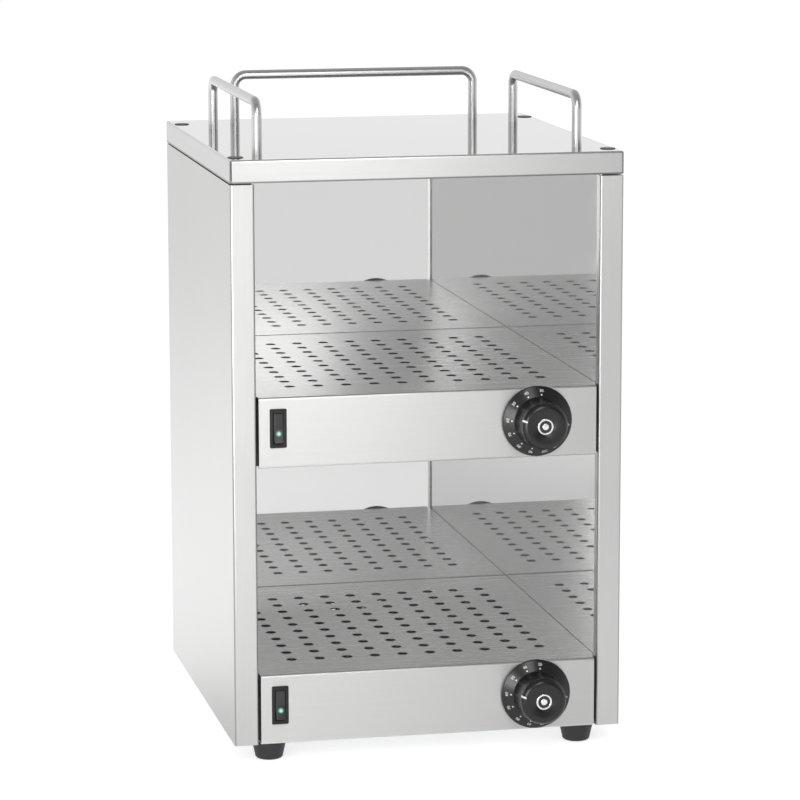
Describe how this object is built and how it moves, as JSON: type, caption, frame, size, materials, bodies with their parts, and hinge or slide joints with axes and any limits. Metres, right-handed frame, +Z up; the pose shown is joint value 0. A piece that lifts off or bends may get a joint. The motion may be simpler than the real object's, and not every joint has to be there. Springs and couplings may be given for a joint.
{
  "type": "cup warmer",
  "caption": "Two-tier heated cup cabinet: open bays over perforated shelves, each with a rocker switch and thermostat knob, and a railed top.",
  "frame": {"origin": "on the supporting surface, under the centre of the overall box", "axes": "+X to the right seen from the front, +Y from the front to the back, +Z up"},
  "size_m": [0.32, 0.375, 0.5345],
  "materials": {
    "brushed_steel": "satin brushed stainless sheet",
    "mirror_steel": "mirror-polished stainless sheet",
    "galvanised": "dull zinc-coated sheet",
    "polished_rod": "polished rod",
    "zinc": "bright zinc-plated",
    "dark_cap": "dark satin",
    "black_plastic": "fine-grained moulding",
    "white_plastic": "smooth moulding",
    "lens_green": "translucent pale green",
    "knob_black": "satin moulding",
    "badge_metal": "polished",
    "element_sheath": "heat-tinted",
    "copper": "bare copper",
    "sleeve": "woven sleeve",
    "black_rubber": "matt"
  },
  "bodies": {
    "cabinet": {"back_liner": "mirror_steel", "back_rail": "polished_rod", "base_plate": "galvanised", "base_screws": "zinc", "cable_gland": "black_plastic", "ceiling_panel": "mirror_steel", "cover_screws": "zinc", "cover_spacers": "zinc", "deck_screws": "zinc", "foot_nuts": "zinc", "front_left_foot": "black_rubber", "front_right_foot": "black_rubber", "gland_nut": "black_plastic", "left_liner": "mirror_steel", "left_rail": "polished_rod", "left_side_panel": "brushed_steel", "lower_deck": "brushed_steel", "lower_element_brackets": "galvanised", "lower_heating_element": "element_sheath", "lower_sensor_bulb": "copper", "lower_switch_housing": "black_plastic", "lower_terminal_block": "white_plastic", "lower_thermostat": "white_plastic", "lower_thermostat_screws": "zinc", "rail_nuts": "zinc", "rear_left_foot": "black_rubber", "rear_panel": "brushed_steel", "rear_right_foot": "black_rubber", "rear_screws": "zinc", "right_liner": "mirror_steel", "right_rail": "polished_rod", "right_side_panel": "brushed_steel", "screw_caps": "dark_cap", "top_cover": "mirror_steel", "upper_deck": "brushed_steel", "upper_element_brackets": "galvanised", "upper_heater_tray": "brushed_steel", "upper_heating_element": "element_sheath", "upper_sensor_bulb": "copper", "upper_switch_housing": "black_plastic", "upper_terminal_block": "white_plastic", "upper_thermostat": "white_plastic", "upper_thermostat_screws": "zinc", "wiring_loom": "sleeve"},
    "upper_rocker": {"upper_rocker": "black_plastic", "upper_rocker_lens": "lens_green"},
    "upper_knob": {"upper_knob": "knob_black", "upper_knob_badge": "badge_metal", "upper_thermostat_shaft": "zinc"},
    "lower_rocker": {"lower_rocker": "black_plastic", "lower_rocker_lens": "lens_green"},
    "lower_knob": {"lower_knob": "knob_black", "lower_knob_badge": "badge_metal", "lower_thermostat_shaft": "zinc"}
  },
  "joints": [
    {"name": "upper_switch", "type": "hinge", "parent": "cabinet", "child": "upper_rocker", "pos_m": [-0.1229, -0.1565, 0.2746], "axis": [1, 0, 0], "range_deg": [0, 16]},
    {"name": "upper_thermostat", "type": "hinge", "parent": "cabinet", "child": "upper_knob", "pos_m": [0.0888, -0.1565, 0.2726], "axis": [0, 1, 0], "range_deg": [0, 315]},
    {"name": "lower_switch", "type": "hinge", "parent": "cabinet", "child": "lower_rocker", "pos_m": [-0.1229, -0.1565, 0.0481], "axis": [1, 0, 0], "range_deg": [0, 16]},
    {"name": "lower_thermostat", "type": "hinge", "parent": "cabinet", "child": "lower_knob", "pos_m": [0.0888, -0.1565, 0.0461], "axis": [0, 1, 0], "range_deg": [0, 315]}
  ]
}
